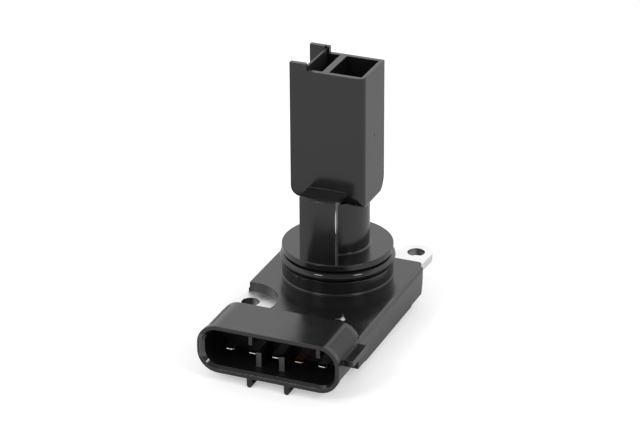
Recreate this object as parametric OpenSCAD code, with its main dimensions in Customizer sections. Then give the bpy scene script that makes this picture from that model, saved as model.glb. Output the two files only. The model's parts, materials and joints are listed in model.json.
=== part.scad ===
// Mass airflow sensor, plug-in type, five-way connector
// Millimetres. The origin is on the pilot axis, on the flange face that seats on the duct.
// +Z runs out to the tip of the probe, the connector opens towards -Y, +Y is the back.

/* [Flange block] */
// Width of the block across its top face
flange_w = 35.6; // [34:0.1:38]
// Pilot axis to the back edge of the top face
flange_back = 12.4; // [11.8:0.1:16]
// Height of the block below its top face
flange_h = 8.7; // [8.2:0.1:10]
// Upright band under the top edge
band_h = 1.3; // [0.8:0.1:1.6]
// How far the sides step out below the band
flare = 0.3; // [0.2:0.05:0.6]
// Height of the slope that steps out
flare_h = 0.5; // [0.4:0.1:0.8]
// Draft of the sides from the parting line to the underside
draft = 0.5; // [0:0.1:1]
// Radius of the upright corners
corner_r = 1.1; // [0.8:0.1:2.4]

/* [Pilot disc] */
// Diameter of the disc that centres the sensor in the duct
pilot_d = 27.6; // [27:0.1:30]
// Height of the disc above the flange face
pilot_h = 8.3; // [7.8:0.1:10]
// Height of the lip that holds the sealing ring
lip_h = 1.5; // [1.2:0.1:2]
// Edge break on the lip
lip_chamfer = 0.15; // [0.1:0.05:0.4]
// How far the bead at the foot of the disc stands out
foot_bead = 0.2; // [0.1:0.05:0.3]
// Height of that bead
foot_bead_h = 0.5; // [0.4:0.1:0.8]
// Height of the ring groove
groove_h = 3.1; // [2.9:0.1:3.5]
// Depth of the ring groove
groove_depth = 1.75; // [1.65:0.05:1.9]
// Section of the sealing ring
ring_d = 2.2; // [2.1:0.05:2.4]
// Gap between the sealing ring and the lower side of its groove
ring_seat = 0.2; // [0.1:0.05:0.4]

/* [Neck and guide rib] */
// Diameter of the neck between disc and probe
neck_d = 15.9; // [15.6:0.1:18]
// Size of the slope round the foot of the neck
neck_foot = 0.35; // [0.2:0.05:0.5]
// How far the neck runs up in front of the probe's underside
neck_rise = 1; // [0.8:0.1:1.4]
// How far the rib's outer face lies inside the edge of the disc
guide_set_in = 0.25; // [0.2:0.05:1.5]
// Width of the rib's outer plate
guide_w = 9.45; // [8:0.05:12]
// Thickness of the plate at its edges
guide_t = 1.5; // [1.2:0.1:2.2]
// Width of the web behind the plate
guide_web_w = 6.4; // [5:0.1:8]
// Height of the rib above the flange face
guide_top = 25.2; // [24:0.1:30]
// Thickness of the roof that joins the rib to the probe
guide_roof = 1.6; // [1:0.1:2.2]
// Lead-in at the top edge of the rib
guide_lead = 0.4; // [0.2:0.1:0.7]

/* [Probe] */
// Width of the probe
probe_w = 19; // [18.6:0.1:22]
// Depth of the probe from front to back
probe_d = 13.6; // [13.2:0.1:15]
// Flange face to the underside of the probe
probe_bottom = 21; // [20.5:0.1:22]
// Flange face to the tip
probe_top = 55.35; // [54:0.05:62]
// Front and back walls
probe_wall = 1.15; // [0.9:0.05:1.4]
// Right wall
side_wall = 0.95; // [0.8:0.05:1.2]
// How far the walls stand past the tip at the inlet end
horn_h = 1.7; // [1:0.1:2.5]
// Length of the front horn
horn_front = 4.4; // [4.2:0.1:4.8]
// Length of the back horn
horn_back = 5.1; // [4.9:0.1:5.5]
// Underside radius at the back
heel_r = 4.5; // [3:0.1:6]
// Underside radius at the front
sole_front = 3; // [2:0.1:3.4]
// Underside radius at the right side
sole_right = 1; // [0.6:0.1:2.4]
// Underside radius at the inlet end
toe_r = 4; // [2:0.1:5]
// Radius of the front upright edge
edge_r = 1.7; // [1:0.1:2.2]

/* [Bypass] */
// Floor of the bypass, above the underside of the probe
bypass_floor = 8.3; // [7.9:0.1:9.5]
// Width of the inlet pocket, open at the end of the probe
pocket_w = 4; // [3.6:0.1:4.2]
// Floor of the inlet pocket above the underside of the probe
pocket_floor = 5.7; // [5.3:0.1:6.3]
// Thickness of the cover plate that closes the bypass
cover_t = 0.6; // [0.5:0.05:0.8]
// How deep the cover's edges sit in the walls
cover_grip = 0.5; // [0.3:0.05:0.6]
// How far the cover stands past the tip
cover_proud = 1.1; // [0.6:0.1:1.5]
// Width of the outlet passage
outlet_w = 3.4; // [3:0.1:3.8]
// Thickness of the wall between the two passages
divider_t = 1.7; // [1.2:0.1:2]
// Height of the turn below the wall
turn_h = 5.5; // [4:0.1:7]
// Width of the window in the cover
window_w = 7; // [4:0.1:8]
// Height of the window in the cover
window_h = 8; // [5:0.1:9]
// Window centre below the tip
window_drop = 9; // [8:0.1:11]

/* [Sensing elements] */
// Section of the lead strips
lead_t = 0.7; // [0.5:0.05:0.9]
// Distance between the two strips of a pair
lead_gap = 4; // [3.2:0.1:4.4]
// Distance between the two strips that carry the air temperature bead
air_gap = 3; // [2.4:0.1:3.4]
// Distance between the heated and the reference pair
pair_gap = 4.4; // [3.6:0.1:5]
// Heated element below the tip
heated_drop = 11; // [9:0.1:13]
// Reference element below the heated one
element_step = 3.5; // [2:0.1:5]
// Diameter of the element bodies
element_d = 1; // [0.8:0.05:1.2]
// Length of the element bodies
element_l = 2; // [1.5:0.1:2.3]
// Diameter of the element wires
wire_d = 0.3; // [0.2:0.05:0.4]
// Diameter of the air temperature bead
bead_d = 1.7; // [1.3:0.1:2]
// Air temperature bead below the tip
bead_drop = 12; // [10:0.1:14]

/* [Mounting plate] */
// Top of the plate below the flange face
plate_drop = 2.5; // [2.4:0.1:3]
// Thickness of the plate
plate_t = 2; // [1.5:0.1:2.4]
// Width of the plate inside the block
plate_w = 31; // [29:0.1:31.6]
// Front edge of the plate body
plate_front = 17.4; // [15:0.1:18.4]
// Back edge of the plate body inside the block
plate_back = 9.6; // [8:0.1:10]
// Diameter of the screw holes
hole_d = 4.5; // [4.2:0.1:5]
// Radius of the ears
ear_r = 4.15; // [3.8:0.05:4.6]
// Left screw hole, sideways from the pilot axis
left_hole_x = 15.3; // [15:0.1:15.8]
// Left screw hole, forward of the pilot axis
left_hole_y = 18.8; // [18.4:0.1:19.4]
// Right screw hole, sideways from the pilot axis
right_hole_x = 12.4; // [11:0.1:13]
// Right screw hole, behind the pilot axis
right_hole_y = 22; // [21:0.1:24]
// Radius of the plate's inner corners
plate_r = 2; // [1:0.1:3]
// Start of the left ear on the plate's side, forward of the pilot axis
left_root_y = 8; // [6:0.5:10]
// Start of the left ear on the plate's front edge, sideways from the pilot axis
left_root_x = 6; // [5.6:0.1:8]
// Start of the right ear on the plate's side, behind the pilot axis
right_root_y = 4; // [2:0.5:6]
// Start of the right ear near the plate's back edge, sideways from the pilot axis
right_root_x = 1; // [0:0.5:3]
// Radius of the clearance for the screw below the left ear
screw_room_r = 5.2; // [4.8:0.1:5.4]
// Radius of the notch over the left ear
boss_room_r = 8.6; // [8:0.1:9.2]
// Middle of the notch, sideways from the pilot axis
boss_room_x = 15.9; // [15.4:0.1:16.6]
// Middle of the notch, forward of the pilot axis
boss_room_y = 22; // [21.4:0.1:22.6]

/* [Connector] */
// Outside width of the shroud
shroud_w = 36.4; // [35.8:0.1:38]
// Top of the shroud above the flange face
shroud_top = 3.2; // [2.8:0.1:4]
// Outside height of the shroud
shroud_h = 12.35; // [12:0.05:13.5]
// Outside corner radius of the shroud
shroud_r = 5.2; // [4:0.1:5.8]
// Wall of the shroud
shroud_wall = 0.95; // [0.8:0.05:1.3]
// Pilot axis to the mouth of the shroud
mouth_y = 43.5; // [42.5:0.1:46]
// Length of the shroud's top behind the mouth
shroud_l = 13.9; // [13.5:0.1:15]
// Wall behind the shroud's chamber
back_wall = 1.7; // [1.4:0.1:2.4]
// Step of the thicker lip round the mouth
mouth_lip = 0.25; // [0.1:0.05:0.4]
// Length of that lip
mouth_lip_l = 1.4; // [1:0.1:2]
// Number of terminals
terminals = 5; // [5:1:5]
// Distance between terminals
pitch = 5.95; // [5.5:0.05:6]
// Width of the terminal blades
blade_w = 2.3; // [2:0.1:2.8]
// Thickness of the terminals
blade_t = 0.64; // [0.5:0.02:0.8]
// Mouth to the tips of the blades
blade_inset = 4.6; // [4.4:0.1:5.2]
// Length of the chamfer on the blade tips
blade_tip = 0.8; // [0.4:0.1:1.2]
// Width of the two coding ribs on the chamber floor
floor_rib_w = 1.35; // [1:0.05:1.5]
// Height of the floor ribs
floor_rib_h = 3.6; // [2.5:0.1:3.8]
// Mouth to the front of the floor ribs
floor_rib_inset = 5; // [4.5:0.1:6]
// Width of the two ribs under the chamber's top
roof_rib_w = 0.95; // [0.8:0.05:1.2]
// Height of the ribs under the chamber's top
roof_rib_h = 2.6; // [1.5:0.1:3]
// Mouth to the front of those ribs
roof_rib_inset = 0.6; // [0.4:0.1:1.5]
// Width of the two rails under the shroud
rail_w = 1.3; // [1:0.1:1.8]
// Distance between the rails
rail_gap = 9.6; // [8.6:0.1:11]
// Projection of the guide block on the right side
side_block = 2.1; // [1:0.1:2.5]
// Height of the guide block
side_block_h = 1.6; // [1:0.1:2]
// Length of the guide block
side_block_l = 8.8; // [6:0.1:9.2]
// Top of the shroud to the top of the guide block
side_block_drop = 4.3; // [3.8:0.1:6]
// Height of the latch ramp between the rails
ramp_h = 1.6; // [1:0.1:2]
// Length of the ramp's slope
ramp_l = 2.8; // [2:0.1:4]
// Length of the ramp's crest
ramp_flat = 0.8; // [0.6:0.1:1.5]
// Gap between the rails' ends and the lid
rail_room = 0.6; // [0.4:0.1:1]
// Straight run of the terminals inside the chamber's wall
jog_lead = 1; // [0.6:0.1:1.6]
// Length over which the terminals draw together
jog_l = 5; // [4:0.5:5.5]

/* [Electronics chamber] */
// Width of the underside lid
lid_w = 31.8; // [31:0.1:33]
// Pilot axis to the front edge of the lid
lid_front = 22; // [21.6:0.1:22.6]
// Pilot axis to the back edge of the lid
lid_back = 11; // [10.6:0.1:11.2]
// Depth of the lid and its bead under the block
lid_h = 2.8; // [2.6:0.1:3.4]
// Wall and floor of the lid
lid_wall = 1.3; // [1.1:0.05:1.5]
// Thickness of the sealing bead
bead_t = 0.25; // [0.15:0.05:0.35]
// Thickness of the circuit board
board_t = 0.8; // [0.6:0.1:1.2]
// Room between the board and the chamber walls
board_room = 1.6; // [1.4:0.1:2.2]
// Middle of the row of the terminals' inner ends, sideways from the pilot axis
inner_x = 2; // [0:0.5:3]
// Distance between the inner ends of the terminals
inner_pitch = 3.4; // [3:0.1:3.6]
// Width of the inner ends of the terminals
inner_w = 1.4; // [1.2:0.1:1.6]
// Gap between the terminals' inner ends and the board
bond_gap = 2.6; // [2.2:0.1:3.4]
// Thickness of the ribbons that bridge this gap
ribbon_t = 0.15; // [0.1:0.05:0.2]
// How far the ribbons hang below the board
ribbon_loop = 0.8; // [0.6:0.1:1]
// Length of the ribbons' welded feet
ribbon_foot = 0.3; // [0.2:0.05:0.35]
// Side of the control chip
control_side = 9; // [7:0.5:10]
// Height of the control chip
control_h = 1.6; // [1.2:0.1:2]
// Edges of the board to the middle of the control chip
control_inset = 9.5; // [8:0.5:11]
// Width of the regulator chip
regulator_w = 5; // [4:0.5:6]
// Depth of the regulator chip
regulator_d = 4; // [3:0.5:5]
// Height of the regulator chip
regulator_h = 1.4; // [1:0.1:1.8]
// Right and back edges of the board to the column of capacitors
column_inset = 5.5; // [4.5:0.1:6]
// Length of the capacitors
capacitor_l = 3.2; // [2:0.1:4]
// Width of the capacitors
capacitor_w = 1.6; // [1.2:0.1:2]
// Height of the capacitors
capacitor_h = 1.3; // [0.8:0.1:1.6]
// Distance between the capacitors
capacitor_pitch = 3.2; // [2.6:0.1:3.6]
// Length of the resistors
resistor_l = 2; // [1.6:0.1:2.6]
// Width of the resistors
resistor_w = 1.25; // [0.8:0.05:1.6]
// Height of the resistors
resistor_h = 0.5; // [0.4:0.1:0.8]
// Distance between the resistors
resistor_pitch = 3.4; // [3:0.1:4]
// Back edge of the board to the row of resistors
resistor_inset = 2.1; // [1.6:0.1:2.6]

/* [Clearances] */
// Gap round pieces that are moulded in
insert_gap = 0.05; // [0.03:0.01:0.08]
// Gap between the sealing ring and its groove floor
ring_gap = 0.03; // [0.02:0.01:0.06]

/* [Hidden] */

// Overshoot of every cutting shape
cut = 0.5;
// Pilot disc
pilot_r = pilot_d / 2;
lip_z = pilot_h - lip_h;
groove_z = lip_z - groove_h;
groove_r = pilot_r - groove_depth;
neck_r = neck_d / 2;
guide_r = pilot_r - guide_set_in;
// Metal plate and the chamber that lies under it
plate_top = -plate_drop;
plate_low = plate_top - plate_t;
left_hole = [-left_hole_x, -left_hole_y];
right_hole = [right_hole_x, right_hole_y];
flange_low = -flange_h;
rest_z = flange_low - lid_h;
lid_top = flange_low - bead_t;
// Probe
inner_d = probe_d - 2 * probe_wall;
floor_z = probe_bottom + bypass_floor;
pocket_z = probe_bottom + pocket_floor;
probe_left = -probe_w / 2;
probe_right = probe_w / 2;
horn_top = probe_top + horn_h;
cover_x = probe_left + pocket_w;
outlet_x = cover_x + cover_t;
divider_x = outlet_x + outlet_w;
inlet_x = divider_x + divider_t;
inlet_w = probe_right - side_wall - inlet_x;
divider_low = floor_z + turn_h;
// Elements
pair_x = inlet_x + inlet_w / 2;
heated_z = probe_top - heated_drop;
reference_z = heated_z - element_step;
air_x = outlet_x + outlet_w / 2;
air_z = probe_top - bead_drop;
// Connector
mouth = -mouth_y;
shroud_end = mouth + shroud_l;
chamber_end = shroud_end - back_wall;
shroud_low = shroud_top - shroud_h;
chamber_low = shroud_low + shroud_wall;
chamber_top = shroud_top - shroud_wall;
blade_top = plate_low;
blade_low = blade_top - blade_t;
blade_y = mouth + blade_inset;
board_low = plate_low - board_t;
inner_end = -lid_front + lid_wall + inner_w;
board_front = inner_end + bond_gap;
board_right = lid_w / 2 - lid_wall - board_room;
board_back = lid_back - lid_wall - board_room;
jog_start = chamber_end + jog_lead;
jog_end = jog_start + jog_l;
rail_end = -lid_front - rail_room;
ramp_end = mouth + mouth_lip_l + ramp_l + ramp_flat;
side_block_z = shroud_top - side_block_drop;

// Plan shapes and small helpers

// Rectangle with rounded corners, made of squares and circles
module rounded(x0, x1, y0, y1, r, fn = 48) {
    translate([x0 + r, y0]) square([x1 - x0 - 2 * r, y1 - y0]);
    translate([x0, y0 + r]) square([x1 - x0, y1 - y0 - 2 * r]);
    for (x = [x0 + r, x1 - r], y = [y0 + r, y1 - r])
        translate([x, y]) circle(r, $fn = fn);
}

// Upright slab from z0 to z1
module slab(z0, z1) {
    translate([0, 0, z0]) linear_extrude(z1 - z0) children();
}

// Slab whose outline lies in X and Z, from y0 to y1
module along_y(y0, y1) {
    translate([0, y1, 0]) rotate([90, 0, 0]) linear_extrude(y1 - y0) children();
}

// Slab whose outline lies in Y and Z, from x0 to x1
module along_x(x0, x1) {
    translate([x0, 0, 0]) rotate([90, 0, 90]) linear_extrude(x1 - x0) children();
}

// Box between two corners
module block(x0, x1, y0, y1, z0, z1) {
    translate([x0, y0, z0]) cube([x1 - x0, y1 - y0, z1 - z0]);
}

// Point where a line from p touches the circle round c, on side s
function touch(p, c, r, s) =
    let (d = norm(p - c), a = atan2(p[1] - c[1], p[0] - c[0]) + s * acos(r / d))
    [c[0] + r * cos(a), c[1] + r * sin(a)];

// Ear that runs tangentially from the points p and q round the centre c
module ear(c, r, p, q) {
    translate(c) circle(r, $fn = 64);
    polygon([p, touch(p, c, r, 1), c, touch(q, c, r, -1), q]);
}

// Outline of the metal plate, grown by g
module plate_outline(g = 0) {
    half = plate_w / 2;
    rounded(-half - g, half + g, -plate_front - g, plate_back + g, plate_r);
    ear(left_hole, ear_r + g, [-half - g, -left_root_y], [-left_root_x + g, -plate_front]);
    ear(right_hole, ear_r + g, [half + g, right_root_y], [right_root_x - g, plate_back - 1]);
}

// Window of the metal plate through which the leads pass
module plate_window(g = 0) {
    rounded(air_x - lead_t - 1 - g, pair_x + lead_gap / 2 + lead_t + 1 + g,
        -pair_gap / 2 - lead_t - 1 - g, pair_gap / 2 + lead_t + 1 + g, 1, 32);
}

// Outline of the lid, drawn in by g
module lid_outline(g = 0) {
    difference() {
        rounded(-lid_w / 2 + g, lid_w / 2 - g, -lid_front + g, lid_back - g, 1.5);
        translate(left_hole) circle(screw_room_r + g, $fn = 72);
    }
}

// Outline of the shroud, drawn in by g
module shroud_outline(g = 0) {
    rounded(-shroud_w / 2 + g, shroud_w / 2 - g, shroud_low + g, shroud_top - g, shroud_r - g);
}

// Half outline of the block's side below its band
function side_profile(at) = [
    [at, -band_h],
    [at + flare, -band_h - flare_h],
    [at + flare - draft, flange_low]];

// The housing, moulded in one piece with the connector and the probe

module flange_block() {
    half = flange_w / 2;
    front = shroud_end - cut;
    right = side_profile(half);
    // upright band under the top edge
    intersection() {
        slab(-band_h - cut, 0) rounded(-half, half, 2 * shroud_end, flange_back, corner_r);
        block(-flange_w, flange_w, front, flange_w, -flange_h, cut);
    }
    // drafted body that stands out a little below the band
    intersection() {
        along_y(front, flange_back + flare)
            polygon(concat(right, [for (i = [2:-1:0]) [-right[i][0], right[i][1]]]));
        along_x(-flange_w, flange_w)
            polygon(concat(side_profile(flange_back), [[front, flange_low], [front, -band_h]]));
        slab(flange_low, -band_h)
            rounded(-half - flare, half + flare, 2 * shroud_end, flange_back + flare, corner_r);
    }
}

module pilot_disc() {
    rotate_extrude($fn = 180) polygon([
        [0, -cut],
        [groove_r, -cut],
        [groove_r, 0],
        [pilot_r + foot_bead, 0],
        [pilot_r + foot_bead, foot_bead_h - foot_bead],
        [pilot_r, foot_bead_h],
        [pilot_r, groove_z],
        [groove_r, groove_z],
        [groove_r, lip_z],
        [pilot_r, lip_z],
        [pilot_r, pilot_h - lip_chamfer],
        [pilot_r - lip_chamfer, pilot_h],
        [0, pilot_h]]);
}

module neck_and_guide() {
    rotate_extrude($fn = 120) polygon([
        [0, pilot_h - cut],
        [neck_r + neck_foot, pilot_h - cut],
        [neck_r + neck_foot, pilot_h],
        [neck_r, pilot_h + neck_foot],
        [neck_r, probe_bottom + neck_rise],
        [0, probe_bottom + neck_rise]]);
    intersection() {
        rotate_extrude($fn = 144) polygon([
            [0, pilot_h - cut],
            [guide_r, pilot_h - cut],
            [guide_r, guide_top - guide_lead],
            [guide_r - guide_lead, guide_top],
            [0, guide_top]]);
        union() {
            // outer plate, web behind it and the roof over both
            block(-guide_w / 2, guide_w / 2, -pilot_d, -guide_plate_y(), 0, guide_top);
            block(-guide_web_w / 2, guide_web_w / 2, -pilot_d, 0, 0, guide_top);
            block(-guide_w / 2, guide_w / 2, -pilot_d, cut - probe_d / 2, guide_top - guide_roof, guide_top);
        }
    }
}

// Depth at which the rib's plate ends and its web begins
function guide_plate_y() = sqrt(guide_r * guide_r - guide_w * guide_w / 4) - guide_t;

// Body of the probe before the passages are cut
module probe_block() {
    half = probe_d / 2;
    intersection() {
        slab(probe_bottom, horn_top) union() {
            translate([probe_left, -half]) square([probe_w - edge_r, probe_d]);
            translate([probe_left, -half + edge_r]) square([probe_w, probe_d - edge_r]);
            translate([probe_right - edge_r, -half + edge_r]) circle(edge_r, $fn = 48);
        }
        along_y(-probe_d, probe_d) union() {
            keel(probe_left, probe_right, probe_top, toe_r, sole_right);
            translate([probe_left, probe_top - cut]) square([pocket_w + horn_back, horn_h + cut]);
        }
        along_x(-probe_w, probe_w) keel(-half, half, horn_top, sole_front, heel_r);
    }
}

// Outline from a to b that stands on the probe's underside, with two rounded lower corners
module keel(a, b, high, ra, rb) {
    mid = (a + b) / 2;
    translate([a + ra, probe_bottom]) square([b - a - ra - rb, high - probe_bottom]);
    translate([a, probe_bottom + ra]) square([mid - a, high - probe_bottom - ra]);
    translate([mid, probe_bottom + rb]) square([b - mid, high - probe_bottom - rb]);
    translate([a + ra, probe_bottom + ra]) circle(ra, $fn = 72);
    translate([b - rb, probe_bottom + rb]) circle(rb, $fn = 72);
}

module probe_passages() {
    y = inner_d / 2;
    // pocket at the inlet end, open to the side and to the tip
    block(probe_left - cut, cover_x, -y, y, pocket_z, horn_top + cut);
    // seat of the cover plate
    block(cover_x, outlet_x, -y - cover_grip, y + cover_grip, floor_z - cover_grip, horn_top + cut);
    // narrow passage, wide passage and the turn that joins them
    block(outlet_x, divider_x, -y, y, floor_z, horn_top + cut);
    block(inlet_x, inlet_x + inlet_w, -y, y, floor_z, horn_top + cut);
    block(divider_x - cut, inlet_x + cut, -y, y, floor_z, divider_low);
    // the walls stand past the tip only at the inlet end
    block(probe_left + horn_front, probe_right + cut, -probe_d, 0, probe_top, horn_top + cut);
    block(probe_left + horn_back, probe_right + cut, 0, probe_d, probe_top, horn_top + cut);
}

module connector_shroud() {
    along_y(mouth, shroud_end) shroud_outline(mouth_lip);
    along_y(mouth, mouth + mouth_lip_l) shroud_outline();
    // rails that guide the plug and carry the front of the sensor when it lies down
    for (x = [-1, 1] * rail_gap / 2) translate([x, 0, 0]) {
        block(-rail_w / 2, rail_w / 2, mouth, rail_end, rest_z + rail_w / 2, flange_low + 1);
        along_y(mouth, rail_end) translate([0, rest_z + rail_w / 2]) circle(rail_w / 2, $fn = 32);
    }
    // ramp that the plug's latch snaps over
    along_x(-rail_gap / 4, rail_gap / 4) polygon([
        [mouth + mouth_lip_l, shroud_low + shroud_wall],
        [mouth + mouth_lip_l, shroud_low],
        [ramp_end - ramp_flat, shroud_low - ramp_h],
        [ramp_end, shroud_low - ramp_h],
        [ramp_end, shroud_low + shroud_wall]]);
    // guide block on the right side
    block(0, shroud_w / 2 + side_block, chamber_end - side_block_l, chamber_end,
        side_block_z - side_block_h, side_block_z);
}

module connector_chamber() {
    difference() {
        along_y(mouth - cut, chamber_end) shroud_outline(shroud_wall);
        // coding ribs on the floor, half way between blades
        for (x = [-0.75, 0.25] * pitch)
            block(x - floor_rib_w / 2, x + floor_rib_w / 2, mouth + floor_rib_inset, chamber_end,
                chamber_low - 1, chamber_low + floor_rib_h);
        // ribs under the top
        for (x = [-0.77, 2.13] * pitch)
            block(x - roof_rib_w / 2, x + roof_rib_w / 2, mouth + roof_rib_inset, chamber_end,
                chamber_top - roof_rib_h, chamber_top + 1);
    }
}

module housing() {
    color([0.06, 0.06, 0.065]) difference() {
        union() {
            difference() {
                union() {
                    flange_block();
                    connector_shroud();
                }
                connector_chamber();
            }
            pilot_disc();
            neck_and_guide();
            probe_block();
        }
        probe_passages();
        // notch for the duct's boss above the left ear, ending at the shroud
        intersection() {
            slab(plate_top, cut) translate([-boss_room_x, -boss_room_y]) circle(boss_room_r, $fn = 120);
            block(-flange_w, 0, shroud_end, 0, plate_top, cut);
        }
        // room for the screw below that ear
        slab(rest_z - cut, plate_low) translate(left_hole) circle(screw_room_r, $fn = 96);
        // seat of the metal plate
        slab(plate_low, plate_top) difference() {
            plate_outline(insert_gap);
            plate_window();
        }
        // chamber for the electronics, open below
        slab(rest_z - cut, plate_low) lid_outline(lid_wall);
        // seats of the terminals and of the leads
        for (i = [1:terminals]) slab(blade_low, blade_top) terminal_outline(i, insert_gap);
        for (s = [-1, 1]) {
            lead(pair_x + s * lead_gap / 2, -pair_gap / 2, floor_z + cut, insert_gap);
            lead(pair_x + s * lead_gap / 2, pair_gap / 2, floor_z + cut, insert_gap);
            lead(air_x, s * air_gap / 2, floor_z + cut, insert_gap);
        }
    }
}

// Plate that closes the bypass, with the inlet window
module bypass_cover() {
    y = inner_d / 2 + cover_grip - insert_gap;
    color([0.10, 0.10, 0.11]) difference() {
        block(cover_x, outlet_x, -y, y, floor_z - cover_grip, probe_top + cover_proud);
        block(cover_x - cut, outlet_x + cut, -window_w / 2, window_w / 2,
            probe_top - window_drop - window_h / 2, probe_top - window_drop + window_h / 2);
    }
}

// Rubber ring that seals against the duct
module o_ring() {
    color([0.16, 0.15, 0.15])
        translate([0, 0, groove_z + ring_seat + ring_d / 2])
            rotate_extrude($fn = 120)
                translate([groove_r + ring_gap + ring_d / 2, 0]) circle(ring_d / 2, $fn = 28);
}

// Metal plate with the two screw ears, moulded into the block
module mounting_plate() {
    color([0.78, 0.78, 0.76]) slab(plate_low, plate_top) difference() {
        plate_outline();
        plate_window(insert_gap);
        for (h = [left_hole, right_hole]) translate(h) circle(hole_d / 2, $fn = 64);
    }
}

// Pan shaped lid under the electronics
module case_lid() {
    color([0.09, 0.09, 0.10]) difference() {
        slab(rest_z, lid_top) lid_outline();
        slab(rest_z + lid_wall, lid_top + cut) lid_outline(lid_wall);
    }
}

// Adhesive bead between lid and block
module lid_seal() {
    color([0.30, 0.30, 0.31]) slab(lid_top, flange_low) difference() {
        lid_outline();
        lid_outline(lid_wall);
    }
}

// Plan of one terminal, its blade in the connector and its inner end in the chamber
module terminal_outline(i, g = 0) {
    n = i - (terminals + 1) / 2;
    x = n * pitch;
    xi = inner_x + n * inner_pitch;
    w = blade_w / 2 + g;
    wi = inner_w / 2 + g;
    polygon([
        [x - w, blade_y + blade_tip / 2],
        [x - w + blade_tip / 2, blade_y],
        [x + w - blade_tip / 2, blade_y],
        [x + w, blade_y + blade_tip / 2],
        [x + w, jog_start],
        [xi + wi, jog_end],
        [xi + wi, inner_end + g],
        [xi - wi, inner_end + g],
        [xi - wi, jog_end],
        [x - w, jog_start]]);
}

// One stamped terminal with a wedge shaped tip
module terminal(i) {
    mid = (blade_top + blade_low) / 2;
    intersection() {
        slab(blade_low, blade_top) terminal_outline(i);
        along_x(-shroud_w, shroud_w) polygon([
            [blade_y, mid - blade_t / 5],
            [blade_y, mid + blade_t / 5],
            [blade_y + blade_tip, blade_top],
            [0, blade_top],
            [0, blade_low],
            [blade_y + blade_tip, blade_low]]);
    }
}

module terminal_1() {
    color([0.80, 0.79, 0.75]) terminal(1);
}

module terminal_2() {
    color([0.80, 0.79, 0.75]) terminal(2);
}

module terminal_3() {
    color([0.80, 0.79, 0.75]) terminal(3);
}

module terminal_4() {
    color([0.76, 0.52, 0.38]) terminal(4);
}

module terminal_5() {
    color([0.80, 0.79, 0.75]) terminal(5);
}

// Ribbons from the terminals' inner ends to the board
module bond_ribbons() {
    a = inner_end - inner_w / 2;
    b = board_front + inner_w / 2;
    low = board_low - ribbon_loop;
    reach = 2 * ribbon_foot;
    color([0.85, 0.85, 0.84])
        for (i = [1:terminals]) {
            x = inner_x + (i - (terminals + 1) / 2) * inner_pitch;
            along_x(x - inner_w / 4, x + inner_w / 4) polygon([
                [a, blade_low],
                [a, blade_low - ribbon_t],
                [a + reach, low],
                [b - reach, low],
                [b, board_low - ribbon_t],
                [b, board_low],
                [b - ribbon_foot, board_low],
                [b - ribbon_foot, board_low - ribbon_t],
                [b - reach - ribbon_t, low + ribbon_t],
                [a + reach + ribbon_t, low + ribbon_t],
                [a + ribbon_foot, blade_low - ribbon_t],
                [a + ribbon_foot, blade_low]]);
        }
}

// Board glued under the metal plate
module circuit_board() {
    color([0.12, 0.36, 0.22]) slab(board_low, plate_low) intersection() {
        rounded(-lid_w / 2, lid_w / 2, board_front, lid_back, 1);
        lid_outline(lid_wall + board_room);
    }
}

// Part on the underside of the board
module part(x, y, w, d, h) {
    block(x - w / 2, x + w / 2, y - d / 2, y + d / 2, board_low - h, board_low);
}

module control_chip() {
    color([0.10, 0.10, 0.10])
        part(control_inset - board_right, board_back - control_inset, control_side, control_side, control_h);
}

module regulator_chip() {
    y = board_back - column_inset - 1.5 * capacitor_pitch - regulator_d;
    color([0.12, 0.12, 0.12]) part(board_right - column_inset, y, regulator_w, regulator_d, regulator_h);
}

module filter_capacitors() {
    color([0.62, 0.50, 0.36]) for (i = [0, 1])
        part(board_right - column_inset, board_back - column_inset - i * capacitor_pitch,
            capacitor_l, capacitor_w, capacitor_h);
}

module trim_resistors() {
    color([0.20, 0.20, 0.22]) for (i = [1:3])
        part(i * resistor_pitch - board_right, board_back - resistor_inset, resistor_l, resistor_w, resistor_h);
}

// One lead strip from the board up to the height z
module lead(x, y, z, g = 0) {
    block(x - lead_t / 2 - g, x + lead_t / 2 + g, y - lead_t / 2 - g, y + lead_t / 2 + g, plate_low, z);
}

module heated_leads() {
    color([0.82, 0.81, 0.78]) for (s = [-1, 1])
        lead(pair_x + s * lead_gap / 2, -pair_gap / 2, heated_z - wire_d / 2 - ring_gap);
}

module reference_leads() {
    color([0.82, 0.81, 0.78]) for (s = [-1, 1])
        lead(pair_x + s * lead_gap / 2, pair_gap / 2, reference_z - wire_d / 2 - ring_gap);
}

module air_leads() {
    color([0.82, 0.81, 0.78]) for (s = [-1, 1])
        lead(air_x, s * air_gap / 2, air_z - wire_d / 2 - ring_gap);
}

// Wound element with its two wires, along X
module element() {
    l = lead_gap / 2 + lead_t / 3;
    rotate([0, 90, 0]) rotate_extrude($fn = 32) polygon([
        [0, -l],
        [wire_d / 2, -l],
        [wire_d / 2, -element_l / 2],
        [element_d / 2 - 0.1, -element_l / 2],
        [element_d / 2, -element_l / 2 + 0.2],
        [element_d / 2, element_l / 2 - 0.2],
        [element_d / 2 - 0.1, element_l / 2],
        [wire_d / 2, element_l / 2],
        [wire_d / 2, l],
        [0, l]]);
}

module heated_element() {
    color([0.88, 0.86, 0.80]) translate([pair_x, -pair_gap / 2, heated_z]) element();
}

module reference_element() {
    color([0.88, 0.86, 0.80]) translate([pair_x, pair_gap / 2, reference_z]) element();
}

// Bead with two wires, along Y
module air_thermistor() {
    l = air_gap / 2 + lead_t / 3;
    color([0.15, 0.13, 0.12]) translate([air_x, 0, air_z]) rotate([90, 0, 0])
        rotate_extrude($fn = 32) union() {
            polygon([[0, -l], [wire_d / 2, -l], [wire_d / 2, l], [0, l]]);
            intersection() {
                circle(bead_d / 2, $fn = 32);
                translate([0, -bead_d]) square([bead_d, 2 * bead_d]);
            }
        }
}

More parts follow.
